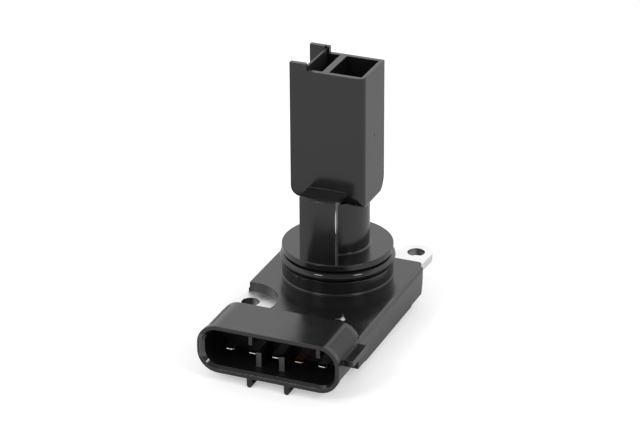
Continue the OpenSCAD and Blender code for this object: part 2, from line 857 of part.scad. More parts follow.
housing();
bypass_cover();
o_ring();
mounting_plate();
case_lid();
lid_seal();
terminal_1();
terminal_2();
terminal_3();
terminal_4();
terminal_5();
bond_ribbons();
circuit_board();
control_chip();
regulator_chip();
filter_capacitors();
trim_resistors();
heated_leads();
reference_leads();
air_leads();
heated_element();
reference_element();
air_thermistor();
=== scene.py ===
# %% [markdown]
# # Dressing a mass airflow sensor
# The sensor is a small black moulding: a flat flange block with a wide connector shroud, a round pilot
# disc with a rubber ring, and a tall probe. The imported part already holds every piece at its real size,
# so this script loads it as a fixed frame, gives it rounded edges, finishes, light and a camera, and adds
# a few forms that are too fine for it.

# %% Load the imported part
import json
import math
import bmesh
import bpy
from mathutils import Matrix, Vector


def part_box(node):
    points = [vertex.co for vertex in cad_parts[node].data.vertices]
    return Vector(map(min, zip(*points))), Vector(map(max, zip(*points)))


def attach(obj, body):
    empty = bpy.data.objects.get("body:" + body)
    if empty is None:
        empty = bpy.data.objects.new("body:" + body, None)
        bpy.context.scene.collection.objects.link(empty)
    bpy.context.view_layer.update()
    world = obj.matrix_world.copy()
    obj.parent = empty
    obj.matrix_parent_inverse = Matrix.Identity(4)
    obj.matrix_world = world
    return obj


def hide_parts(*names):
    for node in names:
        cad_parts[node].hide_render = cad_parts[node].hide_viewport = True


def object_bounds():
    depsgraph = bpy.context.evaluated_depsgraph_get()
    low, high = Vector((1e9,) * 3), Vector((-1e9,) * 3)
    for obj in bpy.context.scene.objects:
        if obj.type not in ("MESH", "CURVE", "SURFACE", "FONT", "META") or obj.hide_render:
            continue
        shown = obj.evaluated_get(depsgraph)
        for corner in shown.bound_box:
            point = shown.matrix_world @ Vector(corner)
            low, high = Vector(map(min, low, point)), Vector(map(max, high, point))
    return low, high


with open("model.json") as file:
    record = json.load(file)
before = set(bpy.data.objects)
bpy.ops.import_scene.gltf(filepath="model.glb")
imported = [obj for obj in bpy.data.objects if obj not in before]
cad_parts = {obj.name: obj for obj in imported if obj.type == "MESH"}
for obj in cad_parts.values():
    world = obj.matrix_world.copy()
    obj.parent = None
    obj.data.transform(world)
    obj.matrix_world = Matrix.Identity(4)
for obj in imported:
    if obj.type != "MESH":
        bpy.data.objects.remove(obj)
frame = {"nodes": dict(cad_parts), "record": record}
cad_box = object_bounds()
nodes = frame["nodes"]
MM = 0.001
print("nodes:", len(nodes), "box in mm:", [[round(c / MM, 1) for c in corner] for corner in cad_box])

# %% [markdown]
# ## Camera
# The photograph was taken with a long lens, a little from the right and from above. A long lens keeps
# upright edges nearly parallel, so the camera stands far back and the lens is long. A turn about the
# view axis of a third of a degree stays in, because the photograph has it too.

# %% Camera from a view angle, a place and a lens
VIEW_AZIMUTH = 22.862
VIEW_ELEVATION = 25.468
VIEW_ROLL = -0.343
CAMERA_PLACE = Vector((228.22, -552.38, 300.51)) * MM
PHOTO_WIDTH_PX = 640
FOCAL_PX = 2700.0
SENSOR_WIDTH = 36
NEAREST = 0.01
FARTHEST = 20


def camera_axes(azimuth, elevation, roll):
    """Right, up and backward directions of a camera that looks down from the front right."""
    a, e, r = (math.radians(v) for v in (azimuth, elevation, roll))
    forward = Vector((-math.sin(a) * math.cos(e), math.cos(a) * math.cos(e), -math.sin(e)))
    level = Vector((math.cos(a), math.sin(a), 0))
    upright = level.cross(forward)
    right = math.cos(r) * level + math.sin(r) * upright
    up = math.cos(r) * upright - math.sin(r) * level
    return right, up, -forward


bpy.ops.object.select_all(action="DESELECT")
bpy.ops.object.camera_add()
camera = bpy.context.object
facing = Matrix(camera_axes(VIEW_AZIMUTH, VIEW_ELEVATION, VIEW_ROLL)).transposed()
camera.matrix_world = Matrix.Translation(CAMERA_PLACE) @ facing.to_4x4()
camera.data.sensor_width = SENSOR_WIDTH
camera.data.lens = SENSOR_WIDTH * FOCAL_PX / PHOTO_WIDTH_PX
camera.data.clip_start = NEAREST
camera.data.clip_end = FARTHEST
bpy.context.scene.camera = camera
bpy.context.scene.view_settings.view_transform = "Standard"
print("lens in mm:", round(camera.data.lens, 1))

# %% [markdown]
# ## Floor, sky and lamps
# Black plastic has almost no colour of its own: what the eye reads is the room that it mirrors. A pale
# floor and a white sky give the front, side and top faces their three greys through Fresnel alone.
# Two square lamps stand left and right of the camera, as in a product studio, and put the small bright
# glints on ring and edges. Between them, over the camera, the room is darker, which lines the rims.

# %% A pale floor under the rails
FLOOR_GAP = 0.03
FLOOR_SIZE = 6
FLOOR_WHITE = 0.80
FLOOR_GLOW = 0.42
rest_height = cad_box[0][2] - FLOOR_GAP * MM


def new_material(name):
    """Empty node material with its output, ready for a shader."""
    material = bpy.data.materials.new(name)
    material.use_nodes = True
    tree = material.node_tree
    tree.nodes.clear()
    return material, tree, tree.nodes.new("ShaderNodeOutputMaterial")


bpy.ops.mesh.primitive_plane_add(size=FLOOR_SIZE, location=(0, 0, rest_height))
floor = bpy.context.object
floor.name = "floor"
floor_paint, tree, output = new_material("floor_paint")
chalk = tree.nodes.new("ShaderNodeBsdfDiffuse")
chalk.inputs["Color"].default_value = (FLOOR_WHITE, FLOOR_WHITE, FLOOR_WHITE, 1)
glow = tree.nodes.new("ShaderNodeEmission")
path = tree.nodes.new("ShaderNodeLightPath")
strength = tree.nodes.new("ShaderNodeMath")
strength.operation = "MULTIPLY"
strength.inputs[1].default_value = FLOOR_GLOW
tree.links.new(path.outputs["Is Camera Ray"], strength.inputs[0])
tree.links.new(strength.outputs[0], glow.inputs["Strength"])
both = tree.nodes.new("ShaderNodeAddShader")
tree.links.new(chalk.outputs[0], both.inputs[0])
tree.links.new(glow.outputs[0], both.inputs[1])
tree.links.new(both.outputs[0], output.inputs["Surface"])
floor.data.materials.append(floor_paint)
print("floor at mm:", round(rest_height / MM, 2))

# %% A white sky, darker over the camera where it is mirrored
world = bpy.data.worlds.new("studio")
bpy.context.scene.world = world
world.use_nodes = True
tree = world.node_tree
sky = tree.nodes["Background"]
sky.inputs["Color"].default_value = (1, 1, 1, 1)
AMBIENT = 0.72
MIRRORED_SKY = 1.12
MIRRORED_DARK = 0.30
DARK_SIDE = Vector((0.28, -0.65, 0.71))
DARK_FROM = 0.35
DARK_FULL = 0.80

heading = tree.nodes.new("ShaderNodeTexCoord")
towards_dark = tree.nodes.new("ShaderNodeVectorMath")
towards_dark.operation = "DOT_PRODUCT"
towards_dark.inputs[1].default_value = DARK_SIDE
tree.links.new(heading.outputs["Generated"], towards_dark.inputs[0])
mirrored = tree.nodes.new("ShaderNodeMapRange")
mirrored.interpolation_type = "SMOOTHSTEP"
mirrored.inputs["From Min"].default_value = DARK_FROM
mirrored.inputs["From Max"].default_value = DARK_FULL
mirrored.inputs["To Min"].default_value = MIRRORED_SKY
mirrored.inputs["To Max"].default_value = MIRRORED_DARK
tree.links.new(towards_dark.outputs["Value"], mirrored.inputs["Value"])

path = tree.nodes.new("ShaderNodeLightPath")
by_gloss = tree.nodes.new("ShaderNodeMix")
by_gloss.inputs["A"].default_value = AMBIENT
tree.links.new(path.outputs["Is Glossy Ray"], by_gloss.inputs["Factor"])
tree.links.new(mirrored.outputs["Result"], by_gloss.inputs["B"])
by_camera = tree.nodes.new("ShaderNodeMix")
by_camera.inputs["B"].default_value = 1.0
tree.links.new(path.outputs["Is Camera Ray"], by_camera.inputs["Factor"])
tree.links.new(by_gloss.outputs["Result"], by_camera.inputs["A"])
tree.links.new(by_camera.outputs["Result"], sky.inputs["Strength"])
print("sky strength:", AMBIENT, "mirrored:", MIRRORED_SKY, "dark side:", MIRRORED_DARK)


# %% Two square lamps beside the camera
def soft_lamp(name, azimuth, elevation, distance, size, watts):
    """Square area lamp that faces the sensor, placed by its angles from the front."""
    a, e = math.radians(azimuth), math.radians(elevation)
    away = Vector((math.sin(a) * math.cos(e), -math.cos(a) * math.cos(e), math.sin(e)))
    bpy.ops.object.light_add(type="AREA", location=away * distance)
    lamp = bpy.context.object
    lamp.name = name
    lamp.data.size = size
    lamp.data.energy = watts
    lamp.rotation_euler = (-away).to_track_quat("-Z", "Y").to_euler()
    return lamp


LAMP_SPREAD = 44
LAMP_ELEVATION = 40
LAMP_DISTANCE = 0.9
LAMP_SIZE = 0.20
LAMP_WATTS = 1.3
for name, turn in (("left_lamp", -LAMP_SPREAD), ("right_lamp", LAMP_SPREAD)):
    lamp = soft_lamp(name, VIEW_AZIMUTH + turn, LAMP_ELEVATION, LAMP_DISTANCE, LAMP_SIZE, LAMP_WATTS)
    print(name, "at", [round(c, 2) for c in lamp.location])

# %% [markdown]
# ## Shared effects
# Five effects are used more than once, so each is a node group with named inputs: a surface with rounded
# edges and a fine grain, an unevenness of the gloss, a mask for one spot of a piece, a mask for one room
# inside it, and fine lines that run one way. A Bevel node rounds the edges in shading alone, because the
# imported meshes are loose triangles, and a real bevel needs clean faces.


# %% Helpers for node groups
def new_group(name, inputs, outputs):
    """Shader node group with named sockets; inputs carry their default values."""
    group = bpy.data.node_groups.new(name, "ShaderNodeTree")
    for label, value in inputs.items():
        kind = "NodeSocketVector" if isinstance(value, tuple) else "NodeSocketFloat"
        socket = group.interface.new_socket(label, in_out="INPUT", socket_type=kind)
        socket.default_value = value
    for label, kind in outputs.items():
        group.interface.new_socket(label, in_out="OUTPUT", socket_type=kind)
    return group, group.nodes.new("NodeGroupInput"), group.nodes.new("NodeGroupOutput")


def use_group(tree, group, values):
    """Node that places a shared effect in a finish, with its own values."""
    node = tree.nodes.new("ShaderNodeGroup")
    node.node_tree = group
    for label, value in values.items():
        node.inputs[label].default_value = value
    return node


def noise_on_object(tree, scale_socket, detail):
    """Noise texture on Object coordinates, whose scale comes from a socket."""
    place = tree.nodes.new("ShaderNodeTexCoord")
    noise = tree.nodes.new("ShaderNodeTexNoise")
    noise.inputs["Detail"].default_value = detail
    tree.links.new(place.outputs["Object"], noise.inputs["Vector"])
    tree.links.new(scale_socket, noise.inputs["Scale"])
    return noise


# %% Rounded edges with a fine grain
EDGE_RADIUS = 0.12
EDGE_SAMPLES = 8
GRAIN_SCALE = 2600.0
GRAIN_DETAIL = 2.0
GRAIN_HEIGHT = 0.02
FLAT_FACE = 0.999
ROUND_EDGE = 0.80


def make_surface():
    """Normal of a grained surface with softly rounded edges, and a mask of those edges."""
    group, given, result = new_group(
        "moulded_surface",
        {"Edge radius": EDGE_RADIUS * MM, "Grain scale": GRAIN_SCALE, "Grain depth": 0.1},
        {"Normal": "NodeSocketVector", "Edge": "NodeSocketFloat"},
    )
    rounded = group.nodes.new("ShaderNodeBevel")
    rounded.samples = EDGE_SAMPLES
    group.links.new(given.outputs["Edge radius"], rounded.inputs["Radius"])
    fine = noise_on_object(group, given.outputs["Grain scale"], GRAIN_DETAIL)
    relief = group.nodes.new("ShaderNodeBump")
    relief.inputs["Distance"].default_value = GRAIN_HEIGHT * MM
    group.links.new(given.outputs["Grain depth"], relief.inputs["Strength"])
    group.links.new(fine.outputs["Fac"], relief.inputs["Height"])
    group.links.new(rounded.outputs["Normal"], relief.inputs["Normal"])
    group.links.new(relief.outputs["Normal"], result.inputs["Normal"])
    flat = group.nodes.new("ShaderNodeNewGeometry")
    along = group.nodes.new("ShaderNodeVectorMath")
    along.operation = "DOT_PRODUCT"
    group.links.new(rounded.outputs["Normal"], along.inputs[0])
    group.links.new(flat.outputs["Normal"], along.inputs[1])
    edge = group.nodes.new("ShaderNodeMapRange")
    edge.inputs["From Min"].default_value = FLAT_FACE
    edge.inputs["From Max"].default_value = ROUND_EDGE
    group.links.new(along.outputs["Value"], edge.inputs["Value"])
    group.links.new(edge.outputs["Result"], result.inputs["Edge"])
    return group


# %% Uneven gloss
CLOUD_SCALE = 160.0
CLOUD_DETAIL = 4.0
CLOUD_LOW = 0.35
CLOUD_HIGH = 0.65


def make_gloss():
    """Roughness that drifts in slow clouds between two values."""
    group, given, result = new_group(
        "uneven_gloss",
        {"Cloud scale": CLOUD_SCALE, "Roughness low": 0.2, "Roughness high": 0.3},
        {"Roughness": "NodeSocketFloat"},
    )
    clouds = noise_on_object(group, given.outputs["Cloud scale"], CLOUD_DETAIL)
    spread = group.nodes.new("ShaderNodeMapRange")
    spread.inputs["From Min"].default_value = CLOUD_LOW
    spread.inputs["From Max"].default_value = CLOUD_HIGH
    group.links.new(clouds.outputs["Fac"], spread.inputs["Value"])
    group.links.new(given.outputs["Roughness low"], spread.inputs["To Min"])
    group.links.new(given.outputs["Roughness high"], spread.inputs["To Max"])
    group.links.new(spread.outputs["Result"], result.inputs["Roughness"])
    return group


# %% One spot of a piece
RIM_START = 0.75


def make_spot():
    """Mask that is one inside an oval round a centre and falls to nothing at its rim."""
    group, given, result = new_group(
        "one_spot",
        {"Centre": (0.0, 0.0, 0.0), "Reach": (MM, MM, MM)},
        {"Mask": "NodeSocketFloat"},
    )
    place = group.nodes.new("ShaderNodeTexCoord")
    offset = group.nodes.new("ShaderNodeVectorMath")
    offset.operation = "SUBTRACT"
    group.links.new(place.outputs["Object"], offset.inputs[0])
    group.links.new(given.outputs["Centre"], offset.inputs[1])
    share = group.nodes.new("ShaderNodeVectorMath")
    share.operation = "DIVIDE"
    group.links.new(offset.outputs["Vector"], share.inputs[0])
    group.links.new(given.outputs["Reach"], share.inputs[1])
    length = group.nodes.new("ShaderNodeVectorMath")
    length.operation = "LENGTH"
    group.links.new(share.outputs["Vector"], length.inputs[0])
    fade = group.nodes.new("ShaderNodeMapRange")
    fade.interpolation_type = "SMOOTHSTEP"
    fade.inputs["From Min"].default_value = 1.0
    fade.inputs["From Max"].default_value = RIM_START
    group.links.new(length.outputs["Value"], fade.inputs["Value"])
    group.links.new(fade.outputs["Result"], result.inputs["Mask"])
    return group


# %% One room inside a piece
def make_room():
    """Mask that is one inside a box, which reaches equally far to both sides of its centre."""
    group, given, result = new_group(
        "one_room",
        {"Centre": (0.0, 0.0, 0.0), "Reach": (MM, MM, MM)},
        {"Mask": "NodeSocketFloat"},
    )
    place = group.nodes.new("ShaderNodeTexCoord")
    steps = []
    for operation, other in (("SUBTRACT", "Centre"), ("DIVIDE", "Reach"), ("ABSOLUTE", None)):
        step = group.nodes.new("ShaderNodeVectorMath")
        step.operation = operation
        before = steps[-1].outputs["Vector"] if steps else place.outputs["Object"]
        group.links.new(before, step.inputs[0])
        if other:
            group.links.new(given.outputs[other], step.inputs[1])
        steps.append(step)
    apart = group.nodes.new("ShaderNodeSeparateXYZ")
    group.links.new(steps[-1].outputs["Vector"], apart.inputs[0])
    widest = [group.nodes.new("ShaderNodeMath") for _ in range(2)]
    for node in widest:
        node.operation = "MAXIMUM"
    group.links.new(apart.outputs["X"], widest[0].inputs[0])
    group.links.new(apart.outputs["Y"], widest[0].inputs[1])
    group.links.new(widest[0].outputs[0], widest[1].inputs[0])
    group.links.new(apart.outputs["Z"], widest[1].inputs[1])
    inside = group.nodes.new("ShaderNodeMath")
    inside.operation = "LESS_THAN"
    inside.inputs[1].default_value = 1.0
    group.links.new(widest[1].outputs[0], inside.inputs[0])
    group.links.new(inside.outputs[0], result.inputs["Mask"])
    return group


# %% Fine lines that run one way
LINE_SCALE = 6000.0
LINE_DETAIL = 2.0
LINE_STRETCH = 0.03
LINE_HEIGHT = 0.01


def make_lines():
    """Height of fine lines, from a noise that is stretched along one axis of the piece."""
    group, given, result = new_group(
        "rolled_lines",
        {"Line scale": LINE_SCALE, "Stretch": (LINE_STRETCH, 1.0, 1.0)},
        {"Lines": "NodeSocketFloat"},
    )
    place = group.nodes.new("ShaderNodeTexCoord")
    drawn = group.nodes.new("ShaderNodeVectorMath")
    drawn.operation = "MULTIPLY"
    group.links.new(place.outputs["Object"], drawn.inputs[0])
    group.links.new(given.outputs["Stretch"], drawn.inputs[1])
    noise = group.nodes.new("ShaderNodeTexNoise")
    noise.inputs["Detail"].default_value = LINE_DETAIL
    group.links.new(drawn.outputs["Vector"], noise.inputs["Vector"])
    group.links.new(given.outputs["Line scale"], noise.inputs["Scale"])
    group.links.new(noise.outputs["Fac"], result.inputs["Lines"])
    return group


SURFACE = make_surface()
GLOSS = make_gloss()
SPOT = make_spot()
ROOM = make_room()
LINES = make_lines()
print("groups:", [group.name for group in (SURFACE, GLOSS, SPOT, ROOM, LINES)])

# %% [markdown]
# ## Finishes
# Each finish is a material of its own, with a Principled shader whose constant values stand on the
# sockets. Normal and roughness come from the shared groups, and the colour can grow a little paler where
# an edge has been handled. The values low and high are the two ends of the roughness.


# %% A moulded or pressed finish
def finish(name, colour, low, high, depth, metallic=0.0, ior=1.5, edge=0.0, radius=EDGE_RADIUS,
           lines=0.0, along="X", coat=0.0):
    """Material with edges rounded by radius in mm and paler by edge, with rolled lines if asked."""
    material, tree, output = new_material(name)
    shader = tree.nodes.new("ShaderNodeBsdfPrincipled")
    shader.inputs["Metallic"].default_value = metallic
    shader.inputs["IOR"].default_value = ior
    surface = use_group(tree, SURFACE, {"Edge radius": radius * MM, "Grain depth": depth})
    tree.links.new(surface.outputs["Normal"], shader.inputs["Normal"])
    gloss = use_group(tree, GLOSS, {"Roughness low": low, "Roughness high": high})
    tree.links.new(gloss.outputs["Roughness"], shader.inputs["Roughness"])
    shader.inputs["Base Color"].default_value = (*colour, 1)
    shader.inputs["Coat Weight"].default_value = coat
    tree.links.new(shader.outputs["BSDF"], output.inputs["Surface"])
    if edge:
        worn = tree.nodes.new("ShaderNodeMix")
        worn.data_type = "RGBA"
        worn.inputs["A"].default_value = (*colour, 1)
        worn.inputs["B"].default_value = (*(c + edge for c in colour), 1)
        tree.links.new(surface.outputs["Edge"], worn.inputs["Factor"])
        tree.links.new(worn.outputs["Result"], shader.inputs["Base Color"])
    if lines:
        stretch = [LINE_STRETCH if axis == along else 1.0 for axis in "XYZ"]
        rolled = use_group(tree, LINES, {"Stretch": stretch})
        relief = tree.nodes.new("ShaderNodeBump")
        relief.inputs["Strength"].default_value = lines
        relief.inputs["Distance"].default_value = LINE_HEIGHT * MM
        tree.links.new(rolled.outputs["Lines"], relief.inputs["Height"])
        tree.links.new(surface.outputs["Normal"], relief.inputs["Normal"])
        tree.links.new(relief.outputs["Normal"], shader.inputs["Normal"])
    return material


# %% The finishes of all slots
LOOKS = {
    "housing_plastic": {"colour": (0.009, 0.009, 0.0095), "low": 0.17, "high": 0.25, "depth": 0.08,
                        "ior": 1.6, "edge": 0.012, "radius": 0.14},
    "cover_plastic": {"colour": (0.018, 0.018, 0.02), "low": 0.3, "high": 0.4, "depth": 0.2},
    "lid_plastic": {"colour": (0.022, 0.022, 0.023), "low": 0.3, "high": 0.42, "depth": 0.2, "edge": 0.01},
    "seal_rubber": {"colour": (0.010, 0.0095, 0.0095), "low": 0.07, "high": 0.12, "depth": 0.03,
                    "coat": 0.2},
    "seal_gum": {"colour": (0.12, 0.12, 0.125), "low": 0.4, "high": 0.6, "depth": 0.3},
    "plate_metal": {"colour": (0.88, 0.88, 0.87), "low": 0.34, "high": 0.5, "depth": 0.2,
                    "metallic": 1.0, "lines": 0.5},
    "tin": {"colour": (0.82, 0.80, 0.76), "low": 0.10, "high": 0.18, "depth": 0.03,
            "metallic": 1.0, "radius": 0.1, "lines": 0.1, "along": "Y"},
    "copper_alloy": {"colour": (0.80, 0.48, 0.34), "low": 0.10, "high": 0.18, "depth": 0.03,
                     "metallic": 1.0, "radius": 0.1, "lines": 0.1, "along": "Y"},
    "board_laminate": {"colour": (0.02, 0.13, 0.06), "low": 0.3, "high": 0.4, "depth": 0.2},
    "chip_resin": {"colour": (0.02, 0.02, 0.02), "low": 0.5, "high": 0.6, "depth": 0.3},
    "capacitor_ceramic": {"colour": (0.42, 0.30, 0.17), "low": 0.4, "high": 0.5, "depth": 0.2},
    "element_ceramic": {"colour": (0.78, 0.75, 0.68), "low": 0.25, "high": 0.35, "depth": 0.1},
    "bead_glass": {"colour": (0.04, 0.03, 0.025), "low": 0.1, "high": 0.15, "depth": 0.05},
}
FINISHES = {name: finish(name, **look) for name, look in LOOKS.items()}
slots = {part["node"]: part["material_slot"] for part in frame["record"]["subparts"]}
for name, node in nodes.items():
    node.data.materials.clear()
    node.data.materials.append(FINISHES[slots[name]])
print("finishes:", len(FINISHES))

# %% [markdown]
# ## Marks and painted light on the housing
# Three marks are set in this one moulding's finish. The upright edge of the guide rib is painted pale over
# a few millimetres, and faintly below, as a painted highlight along that edge. The right face of the probe
# has a tiny dent, which is dull. Behind the shroud, the flange top carries a painted glint shaped like a
# small star. All are masks in the housing's finish, placed in the piece's own millimetres. Small spots in
# two rows, larger and paler towards their middle, make the star.


# %% Masks that change a finish
def mask_in(material, group, centre, reach):
    """Socket of a spot or room mask in a finish, with centre and reach in mm."""
    values = {"Centre": [c * MM for c in centre], "Reach": [r * MM for r in reach]}
    return use_group(material.node_tree, group, values).outputs["Mask"]


def change(material, mask, socket, value):
    """Blend a value over what a socket of the finish holds or is fed, where the mask is one."""
    tree = material.node_tree
    target = next(n for n in tree.nodes if n.type == "BSDF_PRINCIPLED").inputs[socket]
    blend = tree.nodes.new("ShaderNodeMix")
    blend.data_type = "RGBA" if socket == "Base Color" else "FLOAT"
    blend.inputs["B"].default_value = (value, value, value, 1) if socket == "Base Color" else value
    if target.is_linked:
        tree.links.new(target.links[0].from_socket, blend.inputs["A"])
    else:
        blend.inputs["A"].default_value = target.default_value
    tree.links.new(mask, blend.inputs["Factor"])
    tree.links.new(blend.outputs["Result"], target)


# %% The painted highlight on the rib's edge, and the dent
# Painted highlight: pale colour along the guide rib's upright edge, fainter lower down.
PAINTED_EDGE_HIGHLIGHTS = [
    {"centre": (4.72, -12.62, 19.9), "reach": (0.16, 0.30, 3.5), "colour": 0.62},
    {"centre": (4.72, -12.62, 11.6), "reach": (0.16, 0.30, 4.6), "colour": 0.07},
]
DENT = {"centre": (9.5, 0.4, 38.3), "reach": (0.3, 0.22, 0.62), "colour": 0.003, "roughness": 0.85}

HOUSING = FINISHES["housing_plastic"]
for highlight in PAINTED_EDGE_HIGHLIGHTS:
    change(HOUSING, mask_in(HOUSING, SPOT, highlight["centre"], highlight["reach"]), "Base Color", highlight["colour"])
dent = mask_in(HOUSING, SPOT, DENT["centre"], DENT["reach"])
change(HOUSING, dent, "Base Color", DENT["colour"])
change(HOUSING, dent, "Roughness", DENT["roughness"])
print("rubbed stretches:", len(PAINTED_EDGE_HIGHLIGHTS), "and one dent")

# %% The painted glint, as spots in two rows
# Painted glint: pale spots on the flange top, in place of a small star of light behind the shroud.
STAR_GLINT = Vector((10.85, -23.1, 0.0))
AWAY = Vector((-0.20, 0.48, 0.0))
LEFT = Vector((-0.22, -0.09, 0.0))
STAR_GLINT_SPOTS = [
    (AWAY * 5, 0.20, 0.05), (AWAY * 4, 0.24, 0.08), (AWAY * 3, 0.27, 0.12), (AWAY * 2, 0.30, 0.17),
    (AWAY * -2, 0.26, 0.10), (LEFT * 7, 0.20, 0.14), (LEFT * 6, 0.20, 0.12), (LEFT * 5, 0.20, 0.12),
    (LEFT * 4, 0.24, 0.15), (LEFT * 3, 0.32, 0.24), (AWAY * 1, 0.48, 0.45), (AWAY * -0.5, 0.62, 0.70),
]
for offset, reach, colour in STAR_GLINT_SPOTS:
    change(HOUSING, mask_in(HOUSING, SPOT, STAR_GLINT + offset, (reach,) * 3), "Base Color", colour)
print("spots in the painted_star:", len(STAR_GLINT_SPOTS))

# %% [markdown]
# ## Inside the connector
# The mould's core for the connector is left matt, so the chamber's walls mirror nothing, and their colour
# is darkened further as painted shade, so its depth stays black. Just behind the mouth the plug has
# polished the wall. The left of the mouth's wall is painted paler as painted light, and the fronts of the
# two floor ribs, which the plug polishes, are painted paler as a painted reflection. Masks shaped as boxes
# pick all these out of the one moulding.
# Their sides lie within the thickness of the shroud's wall, so the outside keeps its gloss.

# %% A matt chamber darkened by painted shade, with a polished mouth
CHAMBER_X = 17.7
CHAMBER_Z = (-8.6, 2.6)
CHAMBER_Y = (-42.1, -31.0)
CHAMBER_ROUGHNESS = 0.5
CHAMBER_PAINTED_SHADE = 0.002
MOUTH_Y = (-43.48, -42.1)
MOUTH_ROUGHNESS = 0.10


def chamber_mask(depth):
    """Mask of the connector's chamber between two depths in mm."""
    centre = (0, sum(depth) / 2, sum(CHAMBER_Z) / 2)
    reach = (CHAMBER_X, (depth[1] - depth[0]) / 2, (CHAMBER_Z[1] - CHAMBER_Z[0]) / 2)
    return mask_in(HOUSING, ROOM, centre, reach)


matt = chamber_mask(CHAMBER_Y)
change(HOUSING, matt, "Roughness", CHAMBER_ROUGHNESS)
# Painted shade: the chamber's colour is darkened to near black for its depth.
change(HOUSING, matt, "Base Color", CHAMBER_PAINTED_SHADE)
change(HOUSING, chamber_mask(MOUTH_Y), "Roughness", MOUTH_ROUGHNESS)
print("matt chamber from", CHAMBER_Y[0], "to", CHAMBER_Y[1])

# %% Painted reflection on the rib fronts, and painted light on the mouth's left wall
RIB_FRONTS = [(-4.46, -38.5, -6.3), (1.49, -38.5, -6.3)]
RIB_REACH = (0.8, 0.15, 2.1)
RIB_PAINTED_REFLECTION = 0.08
RIB_ROUGHNESS = 0.35
PAINTED_LIGHT_BAND = (-16.9, -43.0, -2.6)
PAINTED_LIGHT_BAND_REACH = (0.8, 0.6, 3.0)
PAINTED_LIGHT_BAND_COLOUR = 0.06

# Painted reflection: the rib fronts are paler in colour, and glossier where the plug polishes them.
for front in RIB_FRONTS:
    painted_light = mask_in(HOUSING, ROOM, front, RIB_REACH)
    change(HOUSING, painted_light, "Base Color", RIB_PAINTED_REFLECTION)
    change(HOUSING, painted_light, "Roughness", RIB_ROUGHNESS)
# Painted light: a paler band on the left wall just inside the mouth.
change(HOUSING, mask_in(HOUSING, ROOM, PAINTED_LIGHT_BAND, PAINTED_LIGHT_BAND_REACH), "Base Color", PAINTED_LIGHT_BAND_COLOUR)
print("rubbed places:", len(RIB_FRONTS) + 1)

# %% [markdown]
# ## Holes in the ears
# The walls of the screw holes carry painted shade and a roughness of their own,
# while the plate's faces stay bright.
# The imported record gives their places and sizes as mounts. A room mask picks the walls: its box is a
# little wider than the hole, and ends just short of the plate's two faces.

# %% Painted shade on the walls of the holes
WIDER = 0.25
SHORTER = 0.03
HOLE_PAINTED_SHADE = 0.30
HOLE_ROUGHNESS = 0.35

holes = [mount for mount in frame["record"]["mounts"] if mount["name"].endswith("screw_hole")]
for hole in holes:
    across = hole["dims"]["r_mm"] + WIDER
    reach = (across, across, hole["dims"]["length_mm"] / 2 - SHORTER)
    wall = mask_in(FINISHES["plate_metal"], ROOM, Vector(hole["pos_m"]) / MM, reach)
    # Painted shade: the hole walls are darkened, as shade inside the bores.
    change(FINISHES["plate_metal"], wall, "Base Color", HOLE_PAINTED_SHADE)
    change(FINISHES["plate_metal"], wall, "Roughness", HOLE_ROUGHNESS)
print("punched holes:", len(holes))

# %% [markdown]
# ## Sealing ring
# The ring is rubber, pressed in a mould of two halves, so a fine line of flash runs round its outer edge.
# A torus gives the round section at once. For the line, the outermost edge loop is bevelled into a
# narrow band, and the middle of that band is drawn out by a few hundredths of a millimetre.


# %% Helpers for pieces
SMOOTH_ANGLE = 40


def select_only(piece):
    """Leave one object selected and active, because an operator acts on all that is selected."""
    bpy.ops.object.select_all(action="DESELECT")
    piece.select_set(True)
    bpy.context.view_layer.objects.active = piece


def pick(piece, element, wanted):
    """In edit mode, select the vertices or edges for which the question wanted is true."""
    bpy.ops.mesh.select_all(action="DESELECT")
    mesh = bmesh.from_edit_mesh(piece.data)
    for item in getattr(mesh, element):
        if wanted(item):
            item.select_set(True)
    mesh.select_flush_mode()
    bmesh.update_edit_mesh(piece.data)


def hand_over(piece, name, slot):
    """Apply the place of a finished piece, smooth it, dress it and let it ride on the sensor."""
    select_only(piece)
    bpy.ops.object.transform_apply(location=True, rotation=True, scale=True)
    bpy.ops.object.shade_smooth_by_angle(angle=math.radians(SMOOTH_ANGLE))
    piece.name = name
    piece.data.name = name
    piece.data.materials.clear()
    piece.data.materials.append(FINISHES[slot])
    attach(piece, "root")
    print(name, "has", len(piece.data.polygons), "faces")


# %% The ring and its line of flash
FLASH_WIDTH = 0.05
FLASH_HEIGHT = 0.035
NEARLY = 0.005
AROUND = 180
ACROSS = 32

low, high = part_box("o_ring")
section = (high[2] - low[2]) / 2
core = high[0] - section
ring_middle = (0, 0, (high[2] + low[2]) / 2)
bpy.ops.object.select_all(action="DESELECT")
bpy.ops.mesh.primitive_torus_add(location=ring_middle, major_radius=core, minor_radius=section,
                                 major_segments=AROUND, minor_segments=ACROSS)
ring = bpy.context.object
bpy.ops.object.mode_set(mode="EDIT")
bpy.context.tool_settings.mesh_select_mode = (False, True, False)
outermost = high[0] - NEARLY * MM
pick(ring, "edges", lambda edge: all(v.co.xy.length > outermost for v in edge.verts))
bpy.ops.mesh.bevel(offset=FLASH_WIDTH * MM, segments=2, affect="EDGES")
bpy.context.tool_settings.mesh_select_mode = (True, False, False)
pick(ring, "verts", lambda vert: abs(vert.co.z) < NEARLY * MM and vert.co.xy.length > core)
spread = 1 + FLASH_HEIGHT * MM / high[0]
bpy.ops.transform.resize(value=(spread, spread, 1), center_override=ring_middle)
bpy.ops.object.mode_set(mode="OBJECT")
hand_over(ring, "sealing_ring", "seal_rubber")
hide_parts("o_ring")

# %% [markdown]
# ## Wound elements
# The two sensing elements are ceramic rods, wound with fine platinum wire. The rods are in the packed
# part, and the windings are added on them. A small circle, swept round the rod by the Screw modifier,
# gives a true helix. It is made for the heated element, and copied to the reference element.

# %% One winding
WIRE = 0.045
WIND_PITCH = 0.15
WIND_TURNS = 9
WIRE_SIDES = 8
STEPS_A_TURN = 24
ROD = 0.5
SAME_PLACE = 0.001


def middle_of(node):
    """Middle of a node's box, in metres."""
    low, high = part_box(node)
    return Vector([(a + b) / 2 for a, b in zip(low, high)])


